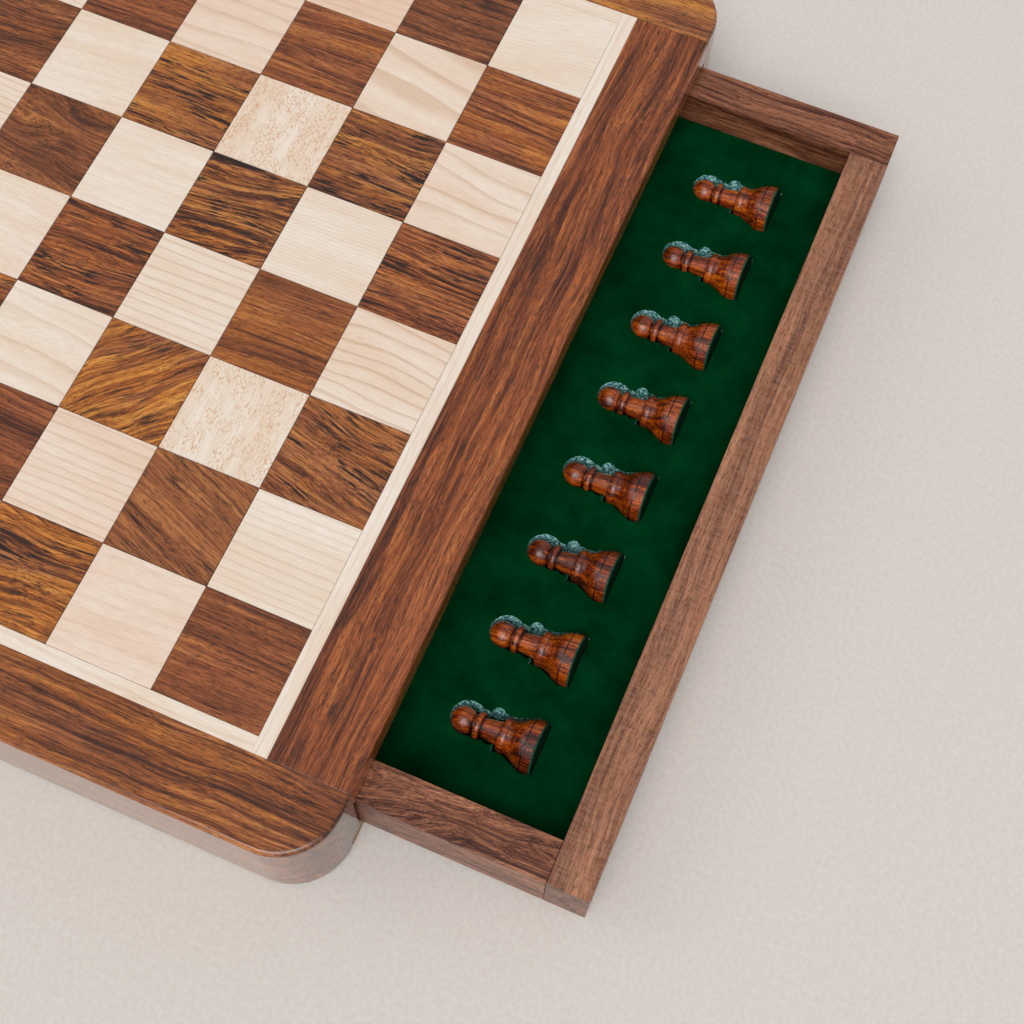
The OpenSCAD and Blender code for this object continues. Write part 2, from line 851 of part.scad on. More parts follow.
// The pocket of a man in the back row. Past the bell it follows the widest parts only.
module man_pocket(man) {
    tilt = tilt_of(man);
    if (man == "queen") {
        pocket_run(foot_top, coronet_at, man_ring_d);
        pocket_round(coronet_at * cos(tilt), coronet_d);
    } else if (man == "king") {
        pocket_run(foot_top, crown_at, man_ring_d);
        pocket_round(crown_at * cos(tilt) - pocket_gap, crown_d);
        pocket_run(crown_at, cross_at + cross_h + pocket_gap, cross_h);
    } else if (man[0] == "r") {
        pocket_run(foot_top, rook_collar_at, man_ring_d);
        pocket_run(rook_collar_at, rook_h + pocket_gap, rook_head_d);
    } else if (man[0] == "k") {
        pocket_run(foot_top, knight_h - mane_out, 2 * mane_out);
        pocket_round(knight_h - mane_out, 2 * mane_out);
        translate([muzzle_at, nose_out - muzzle_r]) circle(muzzle_r + pocket_gap);
    } else {
        pocket_run(foot_top, mitre_at, man_ring_d);
        pocket_round(mitre_at, mitre_d);
        pocket_run(mitre_at, bishop_h + mitre_bead_d / 2 + pocket_gap, mitre_d * 0.76);
    }
}

// ---- Nodes ----

module drawer_piece(side, piece) {
    in_drawer(side) {
        if (piece == "front") color(SHEESHAM) drawer_front();
        if (piece == "back") color(SHEESHAM) drawer_back();
        if (piece == "near_side") color(SHEESHAM) drawer_near_side();
        if (piece == "far_side") color(SHEESHAM) drawer_far_side();
        if (piece == "bottom") color(PLYWOOD) drawer_bottom_slab();
        if (piece == "velvet_tray") color(VELVET) velvet_tray();
    }
}

function set_in(side) = side == "right" ? "dark" : "light";
function wood_in(side) = side == "right" ? DARK_MEN : LIGHT_MEN;

near_rail();
far_rail();
right_top_rail();
left_top_rail();
near_border_strip();
far_border_strip();
right_border_strip();
left_border_strip();
light_squares();
dark_squares();
board_core();
centre_partition();
base_panel();
base_felt();
for (side = ["right", "left"], piece = DRAWER)
    drawer_piece(side, piece);
for (side = ["right", "left"], file = [0:files - 1]) {
    in_drawer(side) lying_pawn(file, wood_in(side));
    in_drawer(side) lying_man(file, wood_in(side));
}
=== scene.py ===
# %% [markdown]
# # An inlaid chess box with drawers
# The box is a flat square case of Indian rosewood (sheesham) with a board of sheesham and maple
# laid into its top. A drawer runs out of its right side and another out of its left. In each
# lies a flocked tray with sixteen turned men.
#
# The shapes come packed from the CAD model. This lesson gives each piece the finish of the real
# material. It starts by loading the model.

# %% Load the model
import math
import random

import bmesh
import bpy
import numpy as np
from mathutils import Matrix, Vector


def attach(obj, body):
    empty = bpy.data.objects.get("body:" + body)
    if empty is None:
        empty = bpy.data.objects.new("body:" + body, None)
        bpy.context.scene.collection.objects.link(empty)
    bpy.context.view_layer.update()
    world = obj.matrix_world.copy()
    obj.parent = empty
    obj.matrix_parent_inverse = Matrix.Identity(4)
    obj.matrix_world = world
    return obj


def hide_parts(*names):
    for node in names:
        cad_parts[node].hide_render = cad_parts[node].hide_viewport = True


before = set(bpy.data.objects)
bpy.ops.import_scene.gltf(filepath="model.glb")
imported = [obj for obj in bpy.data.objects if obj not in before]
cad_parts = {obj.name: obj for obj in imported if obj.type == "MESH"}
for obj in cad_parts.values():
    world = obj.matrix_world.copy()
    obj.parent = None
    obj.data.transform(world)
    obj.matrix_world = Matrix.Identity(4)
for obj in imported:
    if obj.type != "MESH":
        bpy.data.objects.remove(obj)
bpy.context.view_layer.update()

# %% [markdown]
# ## Camera
# The camera looks down steeply over the near right corner. Its place was solved from the grid of
# the board, in millimetres, so it is written as a place and three directions rather than as
# angles. A camera looks along its own -Z, with +X to the right and +Y up.

# %% Place the camera
MM = 0.001
CAMERA_AT = Vector((221.45, -202.04, 438.54)) * MM
IMAGE_RIGHT = Vector((0.91915, 0.39366, 0.01392))
IMAGE_UP = Vector((-0.36662, 0.84204, 0.39567))
SENSOR_MM = 36
LENS_MM = 56.76

camera = bpy.data.objects.new("camera", bpy.data.cameras.new("camera"))
bpy.context.scene.collection.objects.link(camera)
turn = Matrix((IMAGE_RIGHT, IMAGE_UP, IMAGE_RIGHT.cross(IMAGE_UP))).transposed()
camera.matrix_world = Matrix.Translation(CAMERA_AT) @ turn.to_4x4()
camera.data.sensor_width = SENSOR_MM
camera.data.lens = LENS_MM
camera.data.clip_start = 0.01
bpy.context.scene.camera = camera
print("camera looks along", [round(-v, 3) for v in turn.col[2]])

# %% [markdown]
# ## Colours and nodes
# Colours are written as sRGB hex values, the way a colour picker shows them. Blender's shaders
# work with linear light, so one function converts them. A second one adds a node together with
# its settings and links, which keeps the material cells short.

# %% Helpers for colours, nodes and materials
def linear(code):
    """The linear RGBA of an sRGB hex colour."""
    parts = [int(code[i:i + 2], 16) / 255 for i in (1, 3, 5)]
    return [c / 12.92 if c <= 0.04045 else ((c + 0.055) / 1.055) ** 2.4 for c in parts] + [1]


def add(tree, kind, inputs=None, **settings):
    """Adds a shader node. An input gets a value, or the output socket that it is linked to.
    The setting stops gives a colour ramp its places and colours."""
    made = tree.nodes.new("ShaderNode" + kind)
    for number, (at, code) in enumerate(settings.pop("stops", ())):
        ramp = made.color_ramp.elements
        stop = ramp[number] if number < 2 else ramp.new(1.0)
        stop.position, stop.color = at, linear(code)
    for name, value in settings.items():
        setattr(made, name, value)
    for key, value in (inputs or {}).items():
        if isinstance(value, bpy.types.NodeSocket):
            tree.links.new(value, made.inputs[key])
        else:
            made.inputs[key].default_value = value
    return made


def material(name, **surface):
    """An empty material with a Principled shader, whose sockets get these values."""
    made = bpy.data.materials.new(name)
    made.use_nodes = True
    made.node_tree.nodes.clear()
    shader = add(made.node_tree, "BsdfPrincipled")
    for key, value in surface.items():
        shader.inputs[key.replace("_", " ")].default_value = value
    add(made.node_tree, "OutputMaterial", {"Surface": shader.outputs[0]})
    return made, made.node_tree, shader


print("white is", [round(v, 3) for v in linear("#ffffff")])

# %% [markdown]
# ## Floor and light
# A plain pale floor and a pale dome of light stand in for a bright room. The dome is brightest
# in one patch, high over the near side, as under a skylight. That patch draws the sheens on the
# lacquered men and lights the far walls of their pockets. The rest of the dome is dim, also the
# part that the varnished board mirrors toward the camera, so the wood keeps its depth. Two wide
# lamps on the right and the left soften the shadows. The strengths are set so that a level
# surface shows its colour about as written.

# %% Make the floor, the world and the lamps
FLOOR_HEX = "#dcd4cb"
FLOOR_HALF_M = 25.0
TUFTS_PER_M = 700.0  # one each 1.4 mm, the size of the loops of a fine carpet
floor_mat, tree, shader = material("wool_carpet", Roughness=0.95, Specular_IOR_Level=0.1)
place = add(tree, "TexCoord")
tuft = add(tree, "TexNoise", {"Vector": place.outputs["Object"], "Scale": TUFTS_PER_M,
                              "Detail": 3.0})
tone = add(tree, "ValToRGB", {"Fac": tuft.outputs[0]},
           stops=[(0.35, "#d9d0c7"), (0.5, FLOOR_HEX), (0.65, "#dfd8cf")])
tree.links.new(tone.outputs[0], shader.inputs["Base Color"])

mesh = bpy.data.meshes.new("floor")
mesh.from_pydata([(x * FLOOR_HALF_M, y * FLOOR_HALF_M, 0)
                  for x, y in ((-1, -1), (1, -1), (1, 1), (-1, 1))], [], [(0, 1, 2, 3)])
floor = bpy.data.objects.new("floor", mesh)
floor.data.materials.append(floor_mat)
bpy.context.scene.collection.objects.link(floor)

# The skylight lies in this direction. Its strength falls off between these two cosines of the
# angle from its middle, 16 and 27 degrees, from its own to that of the rest of the dome.
SKYLIGHT_TOWARD = (0.1, -0.5, 0.86)
SKYLIGHT_FULL, SKYLIGHT_END = 0.96, 0.89
SKYLIGHT_STRENGTH, DOME_STRENGTH = 4.7, 0.42

world = bpy.data.worlds.new("room")
bpy.context.scene.world = world
world.use_nodes = True
world.node_tree.nodes.clear()
sky = world.node_tree
heading = add(sky, "TexCoord").outputs["Generated"]
ahead = add(sky, "VectorMath", {0: heading, 1: SKYLIGHT_TOWARD}, operation="DOT_PRODUCT")
glow = add(sky, "MapRange", {"Value": ahead.outputs["Value"],
                             "From Min": SKYLIGHT_END, "From Max": SKYLIGHT_FULL,
                             "To Min": DOME_STRENGTH, "To Max": SKYLIGHT_STRENGTH})
dome = add(sky, "Background", {"Color": linear("#f4f5f8"), "Strength": glow.outputs[0]})
add(sky, "OutputWorld", {"Surface": dome.outputs[0]})
bpy.context.scene.view_settings.view_transform = "Standard"


def lamp(name, at, aim, size, watts, colour):
    """A rectangular area lamp at a place, turned to a point."""
    light = bpy.data.lights.new(name, "AREA")
    light.shape = "RECTANGLE"
    light.size, light.size_y = size
    light.energy = watts
    light.color = linear(colour)[:3]
    made = bpy.data.objects.new(name, light)
    bpy.context.scene.collection.objects.link(made)
    made.location = at
    made.rotation_euler = (Vector(aim) - Vector(at)).to_track_quat("-Z", "Y").to_euler()
    return made


lamps = [lamp("right_window", (1.2, -0.9, 1.0), (0.15, 0, 0), (0.9, 0.7), 2, "#f6f9ff"),
         lamp("left_lamp", (-1.3, -0.35, 1.5), (0.1, 0, 0), (1.1, 1.1), 4, "#fff6ec")]
print("lamps:", [(one.name, one.data.energy) for one in lamps])

# %% [markdown]
# ## Cutting pieces from planks
# Real pieces are sawn from planks, and the figure on each face shows where in the plank it lay.
# So each wooden piece gets an attribute, `wood`: for every corner of its mesh, the place in its
# own plank in millimetres, with the grain along X. One wood material can then serve all pieces,
# and the figure runs on round an edge from face to end grain as it does in solid wood.
#
# A second attribute, `figure`, tells the material how this plank differs from others. For
# sheesham it is how pale it is, how many black marks it has and how orange it is. For maple it is
# the spacing of its growth rings in millimetres and how many flecks it has. A third, `grain`, is
# the same for both: how far the lines bend in millimetres, how strong they are, and how pink the
# wood is. End grain soaks up varnish and turns darker, so there the figure is lowered.
#
# The woodworker eases each sharp edge with a stroke of sandpaper. A copy of the CAD mesh gets that
# by a small bevel on its outer edges, and the copy then stands for the node.

# %% Helpers that cut and ease a piece
EASE_MM = 0.3
THIN_EASE_MM = 0.08  # for the strips and squares, which lie level with one another
END_GRAIN_DARKER = 0.3
WELD_MM = 0.002
FLAT_DEGREES, SHARP_DEGREES = 0.5, 35


def eased_mesh(node, ease_mm, segments=2):
    """A node's mesh with its flat faces whole again and its sharp outer edges eased."""
    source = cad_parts[node].data
    bare = bpy.data.meshes.new(node)
    bare.from_pydata([v.co for v in source.vertices], [], [p.vertices[:] for p in source.polygons])
    work = bmesh.new()
    work.from_mesh(bare)
    bmesh.ops.remove_doubles(work, verts=work.verts, dist=WELD_MM * MM)
    bmesh.ops.dissolve_limit(work, angle_limit=math.radians(FLAT_DEGREES), verts=work.verts,
                             edges=work.edges)
    sharp = [e for e in work.edges if len(e.link_faces) == 2 and e.is_convex
             and e.calc_face_angle() > math.radians(SHARP_DEGREES)]
    if ease_mm:
        bmesh.ops.bevel(work, geom=sharp, offset=ease_mm * MM, segments=segments, profile=0.5,
                        affect="EDGES", clamp_overlap=True)
    work.to_mesh(bare)
    work.free()
    return bare


def show(name, mesh, body, slot, *materials_used, stands_for):
    """Puts a mesh in the scene as a piece that rides on a body and stands for some nodes."""
    made = bpy.data.objects.new(name, mesh)
    bpy.context.scene.collection.objects.link(made)
    mesh.materials.clear()
    for one in materials_used:
        mesh.materials.append(one)
    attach(made, body)
    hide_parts(*stands_for)
    return made


def shade(made, angle=25):
    """Smooth shading that keeps flat faces flat."""
    made.data.shade_smooth()
    made.data.set_sharp_from_angle(angle=math.radians(angle))
    flat = made.modifiers.new("flat faces", "WEIGHTED_NORMAL")
    flat.keep_sharp = True
    flat.weight = 100


def store(mesh, name, rows):
    """Keeps one vector for each vertex of a mesh as an attribute."""
    kept = mesh.attributes.new(name, "FLOAT_VECTOR", "POINT")
    kept.data.foreach_set("vector", np.asarray(rows, np.float32).ravel())


def corners(mesh):
    """The vertices of a mesh in millimetres, one row each."""
    found = np.zeros(len(mesh.vertices) * 3, np.float32)
    mesh.vertices.foreach_get("co", found)
    return found.reshape(-1, 3) / MM


def in_plank(points, degrees, plank):
    """Turns points by an angle about Z, so that the grain lies along X, and moves them to a place
    of their own in the stack of planks."""
    c, s = math.cos(math.radians(degrees)), math.sin(math.radians(degrees))
    x, y, z = points.T
    turned = np.stack([c * x + s * y, -s * x + c * y, z], 1)
    pick = random.Random(plank)
    return turned + [pick.uniform(0, 4000), pick.uniform(0, 900), pick.uniform(0, 900)]


def board(node, degrees, plank, figure, grain, finish, body="case", slot="sheesham",
          ease_mm=EASE_MM):
    """A sawn board: an eased copy of its node, with its place in a plank, figure and grain.
    Sheesham is darker where its face looks along the grain."""
    mesh = eased_mesh(node, ease_mm)
    points = corners(mesh)
    store(mesh, "wood", in_plank(points, degrees, plank))
    figures = np.tile(figure, (len(points), 1)).astype(float)
    if slot == "sheesham":
        along = Vector((math.cos(math.radians(degrees)), math.sin(math.radians(degrees)), 0))
        figures[:, 0] -= [END_GRAIN_DARKER * abs(v.normal.dot(along)) for v in mesh.vertices]
    store(mesh, "figure", figures)
    store(mesh, "grain", np.tile(grain, (len(points), 1)))
    shade(show(node + "_board", mesh, body, slot, finish, stands_for=[node]))


print("edges are eased by", EASE_MM, "mm")

# %% [markdown]
# ## Sheesham
# Sheesham is a brown rosewood. Its heart is orange to chocolate brown, with darker bands from
# its growth and from the way its fibres weave. Short, nearly black marks of mineral stain follow
# the grain, and its wide pores show as fine dark scratches. The case was planed, sanded and given
# a glossy varnish, whose index of refraction is about 1.5, so it reflects like glass at a low
# angle, where it mirrors the floor. The drawers have less of it, worn by hands. Their fronts and
# backs still show the saw, as fine pale lines across the grain.
#
# Everything is drawn by noise that is stretched along the grain. A helper draws one kind of mark
# from its real length and width in millimetres. The turned men need two things more. Lacquer
# that is dipped or sprayed thick dries with shallow dimples, which break up its highlights. The
# hollows of the turning are painted darker, which is painted shade. The Ambient Occlusion node
# finds those hollows.

# %% Make the sheesham
def marks(tree, wood, length_mm, width_mm, start, end, detail=2.0):
    """Marks drawn out along the grain: 0 where the noise is below start, 1 above end."""
    scaled = add(tree, "VectorMath", {0: wood, 1: (1 / length_mm, 1 / width_mm, 1 / width_mm)},
                 operation="MULTIPLY")
    noise = add(tree, "TexNoise", {"Vector": scaled.outputs[0], "Scale": 1.0, "Detail": detail,
                                   "Roughness": 0.6})
    return add(tree, "MapRange", {"Value": noise.outputs[0], "From Min": start,
                                  "From Max": end}).outputs[0]


def rings(tree, wood, spacing_mm, sway):
    """Growth rings across the grain: each rises from 0 to 1 and drops back. sway is how many
    rings they wander."""
    across = add(tree, "SeparateXYZ", {0: wood}).outputs
    depth = add(tree, "Math", {0: across[2], 1: 0.4, 2: across[1]}, operation="MULTIPLY_ADD")
    count = add(tree, "Math", {0: depth.outputs[0], 1: spacing_mm}, operation="DIVIDE").outputs[0]
    count = total(tree, count, (marks(tree, wood, 130, 16, 0.0, 1.0, 1), sway))
    return add(tree, "Math", {0: count}, operation="FRACT").outputs[0]


def total(tree, start, *parts):
    """Adds up values, each times its weight."""
    for value, weight in parts:
        start = add(tree, "Math", {0: value, 1: weight, 2: start},
                    operation="MULTIPLY_ADD").outputs[0]
    return start


def read_plank(tree):
    """What a piece says about itself: its bent place in the plank, its figure and its grain."""
    wood, figure, grain = [add(tree, "Attribute", attribute_name=name).outputs["Vector"]
                           for name in ("wood", "figure", "grain")]
    figure, grain = [add(tree, "SeparateXYZ", {0: kept}) for kept in (figure, grain)]
    slow = add(tree, "VectorMath", {0: wood, 1: (1 / 40, 1 / 14, 1 / 14)}, operation="MULTIPLY")
    drift = add(tree, "TexNoise", {"Vector": slow.outputs[0], "Scale": 1.0, "Detail": 1.0})
    sway = add(tree, "CombineXYZ", {1: grain.outputs[0], 2: grain.outputs[0]})
    bent = add(tree, "VectorMath", {0: drift.outputs["Color"], 1: sway.outputs[0], 2: wood},
               operation="MULTIPLY_ADD")
    return bent.outputs[0], figure.outputs, grain.outputs


def mixed(tree, factor, below, above, blend_type="MIX"):
    """One colour over another."""
    return add(tree, "Mix", {0: factor, 6: below, 7: above}, data_type="RGBA",
               blend_type=blend_type).outputs[2]


RING_MM, RING_WANDER = 2.6, 5.0
HOLLOW_MM = 1.2
DIMPLES_PER_MM = 1.5
PORE_DEEP_MM = 0.008


def sheesham(name, tones, glow_tones, sawn=0.0, dimpled=0.0, hollow_shade=0.0, **surface):
    """A material of varnished sheesham. tones run from its darkest band to its lightest, and
    glow_tones are those of its orange patches. sawn is how much the saw marks show, dimpled how
    deep the lacquer's dimples are beside the pores, and hollow_shade how much darker it paints the
    hollows, as painted shade."""
    made, tree, shader = material(name, **surface)
    wood, figure, grain = read_plank(tree)
    bands = marks(tree, wood, 150, 5, 0.32, 0.68, 2)
    streaks = marks(tree, wood, 34, 0.9, 0.32, 0.68, 3)
    threads = marks(tree, wood, 9, 0.24, 0.3, 0.7, 3)
    growth = rings(tree, wood, RING_MM, RING_WANDER)
    lines = total(tree, -0.69, (bands, 0.4), (streaks, 0.4), (threads, 0.4), (growth, 0.24))
    tone = add(tree, "Math", {0: lines, 1: grain[1]}, operation="MULTIPLY").outputs[0]
    tone = total(tree, tone, (figure[0], 1.0))
    # The hollows that the Ambient Occlusion node finds are painted darker: painted shade.
    if hollow_shade:
        around = add(tree, "AmbientOcclusion", {"Distance": HOLLOW_MM * MM}, samples=8,
                     only_local=True)
        hollow_shade_tone = add(tree, "MapRange", {"Value": around.outputs["AO"], "From Min": 0.45,
                                            "From Max": 0.95, "To Min": -hollow_shade, "To Max": 0.0})
        tone = total(tree, tone, (hollow_shade_tone.outputs[0], 1.0))
    tone = add(tree, "Math", {0: tone, 1: 0.5}).outputs[0]
    count = len(tones) - 1
    brown, orange = [
        add(tree, "ValToRGB", {"Fac": tone}, stops=[(i / count, c) for i, c in enumerate(row)])
        for row in (tones, glow_tones)]
    patches = marks(tree, wood, 45, 9, 0.38, 0.62)
    glow = add(tree, "Math", {0: patches, 1: figure[2]}, operation="MULTIPLY", use_clamp=True)
    colour = mixed(tree, glow.outputs[0], brown.outputs[0], orange.outputs[0])
    colour = mixed(tree, grain[2], colour, linear("#ffd2c4"), "MULTIPLY")
    where = marks(tree, wood, 26, 6, 0.42, 0.6)
    ink = marks(tree, wood, 11, 0.75, 0.5, 0.6, 3)
    stain = add(tree, "Math", {0: ink, 1: where}, operation="MULTIPLY").outputs[0]
    stain = add(tree, "Math", {0: stain, 1: figure[1]}, operation="MULTIPLY", use_clamp=True)
    colour = mixed(tree, stain.outputs[0], colour, linear("#1d100b"))
    veins = marks(tree, wood, 60, 0.7, 0.57, 0.66, 3)
    veined = add(tree, "Math", {0: veins, 1: 0.5}, operation="MULTIPLY").outputs[0]
    colour = mixed(tree, veined, colour, linear("#24120a"))
    pores = marks(tree, wood, 2.6, 0.22, 0.53, 0.63)
    pored = add(tree, "Math", {0: pores, 1: 0.7}, operation="MULTIPLY").outputs[0]
    colour = mixed(tree, pored, colour, linear("#1c0d07"))
    height = add(tree, "Math", {0: pores, 1: -1.0}, operation="MULTIPLY").outputs[0]
    if dimpled:
        dimples = add(tree, "TexNoise", {"Vector": wood, "Scale": DIMPLES_PER_MM,
                                         "Detail": 2.0})
        ribs = marks(tree, wood, 5, 0.4, 0.35, 0.65, 1)
        height = total(tree, height, (dimples.outputs[0], dimpled), (ribs, dimpled * 0.2))
    if sawn:
        teeth = marks(tree, wood, 0.5, 5, 0.4, 0.6, 2)
        colour = mixed(tree, add(tree, "Math", {0: teeth, 1: sawn},
                                 operation="MULTIPLY").outputs[0], colour, linear("#b98d78"))
        height = total(tree, height, (teeth, 0.6))
    tree.links.new(colour, shader.inputs["Base Color"])
    relief = add(tree, "Bump", {"Strength": 1.0, "Distance": PORE_DEEP_MM * MM,
                                "Height": height})
    tree.links.new(relief.outputs[0], shader.inputs["Normal"])
    if dimpled:
        tree.links.new(relief.outputs[0], shader.inputs["Coat Normal"])
    return made


VARNISHED = dict(Roughness=0.4, Specular_IOR_Level=0.2, IOR=1.5, Coat_Weight=1.0,
                 Coat_Roughness=0.06, Coat_IOR=1.5)
box_sheesham = sheesham("sheesham_glossy_varnish",
                        ["#241008", "#4a240f", "#7d4321", "#a15d32", "#be7a44"],
                        ["#361806", "#70360d", "#a85d1e", "#ca7a28", "#de9742"], **VARNISHED)
DRAWER_TONES = [["#32180e", "#5f3524", "#906044", "#af7a59", "#c79574"],
                ["#402210", "#764326", "#a36b45", "#c08257", "#d29a6c"]]
WORN = dict(Roughness=0.5, Specular_IOR_Level=0.3, IOR=1.5, Coat_Weight=0.3, Coat_Roughness=0.25,
            Coat_IOR=1.5)
drawer_sheesham = sheesham("sheesham_worn_varnish", *DRAWER_TONES, **WORN)
sawn_sheesham = sheesham("sheesham_sawn_worn_varnish", *DRAWER_TONES, sawn=0.22, **WORN)
print("made", box_sheesham.name, "with", len(box_sheesham.node_tree.nodes), "nodes")

# %% [markdown]
# ## Maple
# The light squares and the border strips are maple, a dense, nearly white wood. Its growth rings
# are thin tan lines a few millimetres apart, softly curved where the plank was cut along a ring.
# Where it was cut across them instead, the rays show as rows of short orange-brown flecks, which
# stand across the grain. Its varnish is satin and hardly shows on so pale a wood.

# %% Make the maple
def maple(name, ground, line, fleck, **surface):
    """A material of varnished maple: its ground, its ring lines and its ray flecks."""
    made, tree, shader = material(name, **surface)
    wood, figure, grain = read_plank(tree)
    growth = rings(tree, wood, figure[0], 2.2)
    edge = add(tree, "ValToRGB", {"Fac": growth},
               stops=[(0.0, ground), (0.66, ground), (0.92, line), (0.96, line), (1.0, ground)])
    colour = mixed(tree, grain[1], linear(ground), edge.outputs[0])
    shades = marks(tree, wood, 60, 9, 0.35, 0.65)
    pale = add(tree, "ValToRGB", {"Fac": shades}, stops=[(0.0, "#ffffff"), (1.0, "#f9f0e7")])
    colour = mixed(tree, 1.0, colour, pale.outputs[0], "MULTIPLY")
    fibres = marks(tree, wood, 5, 0.3, 0.3, 0.7)
    fine = add(tree, "ValToRGB", {"Fac": fibres}, stops=[(0.0, "#f4ece4"), (1.0, "#ffffff")])
    colour = mixed(tree, 1.0, colour, fine.outputs[0], "MULTIPLY")
    rows = marks(tree, wood, 7, 4, 0.4, 0.55)
    ray = marks(tree, wood, 1.1, 0.28, 0.52, 0.62, 1)
    ray = add(tree, "Math", {0: ray, 1: rows}, operation="MULTIPLY").outputs[0]
    ray = add(tree, "Math", {0: ray, 1: figure[1]}, operation="MULTIPLY", use_clamp=True)
    colour = mixed(tree, ray.outputs[0], colour, linear(fleck))
    colour = mixed(tree, grain[2], colour, linear("#fae6dc"), "MULTIPLY")
    tree.links.new(colour, shader.inputs["Base Color"])
    return made


SATIN = dict(Roughness=0.45, Specular_IOR_Level=0.3, IOR=1.5, Coat_Weight=0.4,
             Coat_Roughness=0.2, Coat_IOR=1.5)
box_maple = maple("maple_satin_varnish", "#f8eddf", "#dabd9d", "#dcae84", **SATIN)
print("made", box_maple.name)

# %% [markdown]
# ## Plywood, felt and velvet
# The board's core, the partition and the bottoms are thin birch plywood, bare and sanded. Their
# edges show the plies as dark and light lines.
#
# Felt is wool pressed into a sheet: matt, and finely mottled by its fibres. It is glued under the
# box and under each man.
#
# The trays are foam with short rayon fibres shot upright into glue, which is called flocking.
# Light sinks between the fibres, so the colour is very deep seen from above. Round the rim of a
# pocket they fan out, and a little lighter green is painted there as a painted highlight. On its
# walls they stand sideways and thinner, and their tips catching the light are painted in as pale
# frost: painted highlights. How steep the surface is decides which.
#
# Real fibres of wool and rayon are a few hundredths of a millimetre thick, too fine to show, so
# the noise draws tufts of them that are coarse enough to be seen.

# %% Make the plywood, the felt and the flocked velvet
PLY_MM = 1.0
FELT_TUFTS_PER_M = 2500.0
NAP_PATCHES_PER_M = 70.0
FLOCK_TUFTS_PER_M = 1400.0


def plywood(name, pale, brown, **surface):
    """A material of birch plywood whose plies lie level."""
    made, tree, shader = material(name, **surface)
    place = add(tree, "TexCoord").outputs["Object"]
    wood = add(tree, "VectorMath", {0: place, 1: [1 / MM] * 3}, operation="MULTIPLY")
    level = add(tree, "SeparateXYZ", {0: wood.outputs[0]}).outputs[2]
    ply = add(tree, "Math", {0: level, 1: PLY_MM}, operation="PINGPONG").outputs[0]
    glue = add(tree, "MapRange", {"Value": ply, "From Min": 0.35, "From Max": 0.6}).outputs[0]
    side = add(tree, "SeparateXYZ", {0: add(tree, "TexCoord").outputs["Normal"]}).outputs[2]
    side = add(tree, "Math", {0: side}, operation="ABSOLUTE").outputs[0]
    face = add(tree, "MapRange", {"Value": side, "From Min": 0.3, "From Max": 0.7,
                                  "To Min": 1.0, "To Max": 0.0}).outputs[0]
    glue = add(tree, "Math", {0: glue, 1: face}, operation="MULTIPLY").outputs[0]
    streaks = marks(tree, wood.outputs[0], 30, 1.4, 0.3, 0.7, 3)
    ground = add(tree, "ValToRGB", {"Fac": streaks}, stops=[(0.0, brown), (1.0, pale)])
    colour = mixed(tree, glue, ground.outputs[0], linear("#5a3a20"))
    tree.links.new(colour, shader.inputs["Base Color"])
    return made


def felt(name, dark, light, **surface):
    """A material of pressed wool felt."""
    made, tree, shader = material(name, **surface)
    place = add(tree, "TexCoord").outputs["Object"]
    fibres = add(tree, "TexNoise", {"Vector": place, "Scale": FELT_TUFTS_PER_M, "Detail": 3.0})
    mottle = add(tree, "ValToRGB", {"Fac": fibres.outputs[0]}, stops=[(0.35, dark), (0.65, light)])
    tree.links.new(mottle.outputs[0], shader.inputs["Base Color"])
    fuzz = add(tree, "Bump", {"Strength": 0.6, "Distance": 0.1 * MM,
                              "Height": fibres.outputs[0]})
    tree.links.new(fuzz.outputs[0], shader.inputs["Normal"])
    return made


def flock(name, deep, lit, rim, wall_highlights, **surface):
    """A material of flocked foam: deep to lit on level faces; on leaning ones the colour rim, a
    painted highlight; and on steep ones the three pale colours of wall_highlights, painted
    highlights."""
    made, tree, shader = material(name, **surface)
    coord = add(tree, "TexCoord").outputs
    nap = add(tree, "TexNoise", {"Vector": coord["Object"], "Scale": NAP_PATCHES_PER_M,
                                 "Detail": 5.0, "Roughness": 0.75})
    ground = add(tree, "ValToRGB", {"Fac": nap.outputs[0]}, stops=[(0.35, deep), (0.65, lit)])
    level = add(tree, "SeparateXYZ", {0: coord["Normal"]}).outputs[2]
    rim_highlight_mask = add(tree, "MapRange", {"Value": level, "From Min": 0.995,
                                     "From Max": 0.85}).outputs[0]
    wall_highlight_mask = add(tree, "MapRange", {"Value": level, "From Min": 0.8, "From Max": 0.4}).outputs[0]
    tips = add(tree, "TexNoise", {"Vector": coord["Object"], "Scale": FLOCK_TUFTS_PER_M,
                                  "Detail": 3.0})
    wall_highlight_tones = add(tree, "ValToRGB", {"Fac": tips.outputs[0]},
                  stops=list(zip((0.38, 0.5, 0.64), wall_highlights)))
    # The rim's lighter green and the walls' pale frost are painted highlights.
    colour = mixed(tree, rim_highlight_mask, ground.outputs[0], linear(rim))
    colour = mixed(tree, wall_highlight_mask, colour, wall_highlight_tones.outputs[0])
    tree.links.new(colour, shader.inputs["Base Color"])
    fuzz = add(tree, "Bump", {"Strength": 0.4, "Distance": 0.15 * MM, "Height": tips.outputs[0]})
    tree.links.new(fuzz.outputs[0], shader.inputs["Normal"])
    return made


birch = plywood("birch_plywood", "#d2b48c", "#bd9a6e", Roughness=0.7, IOR=1.5)
green_felt = felt("green_wool_felt", "#0c4a26", "#1d6b38", Roughness=0.95,
                  Specular_IOR_Level=0.1)
disc_felt = felt("dark_green_felt", "#011c0c", "#032b15", Roughness=0.95, Specular_IOR_Level=0.1)
# The edge of each man's felt disc is painted a lighter teal, a painted highlight.
felt_edge_highlight = felt("green_felt_edge_highlight", "#0c3d2b", "#1c5f48", Roughness=0.95, Specular_IOR_Level=0.1)
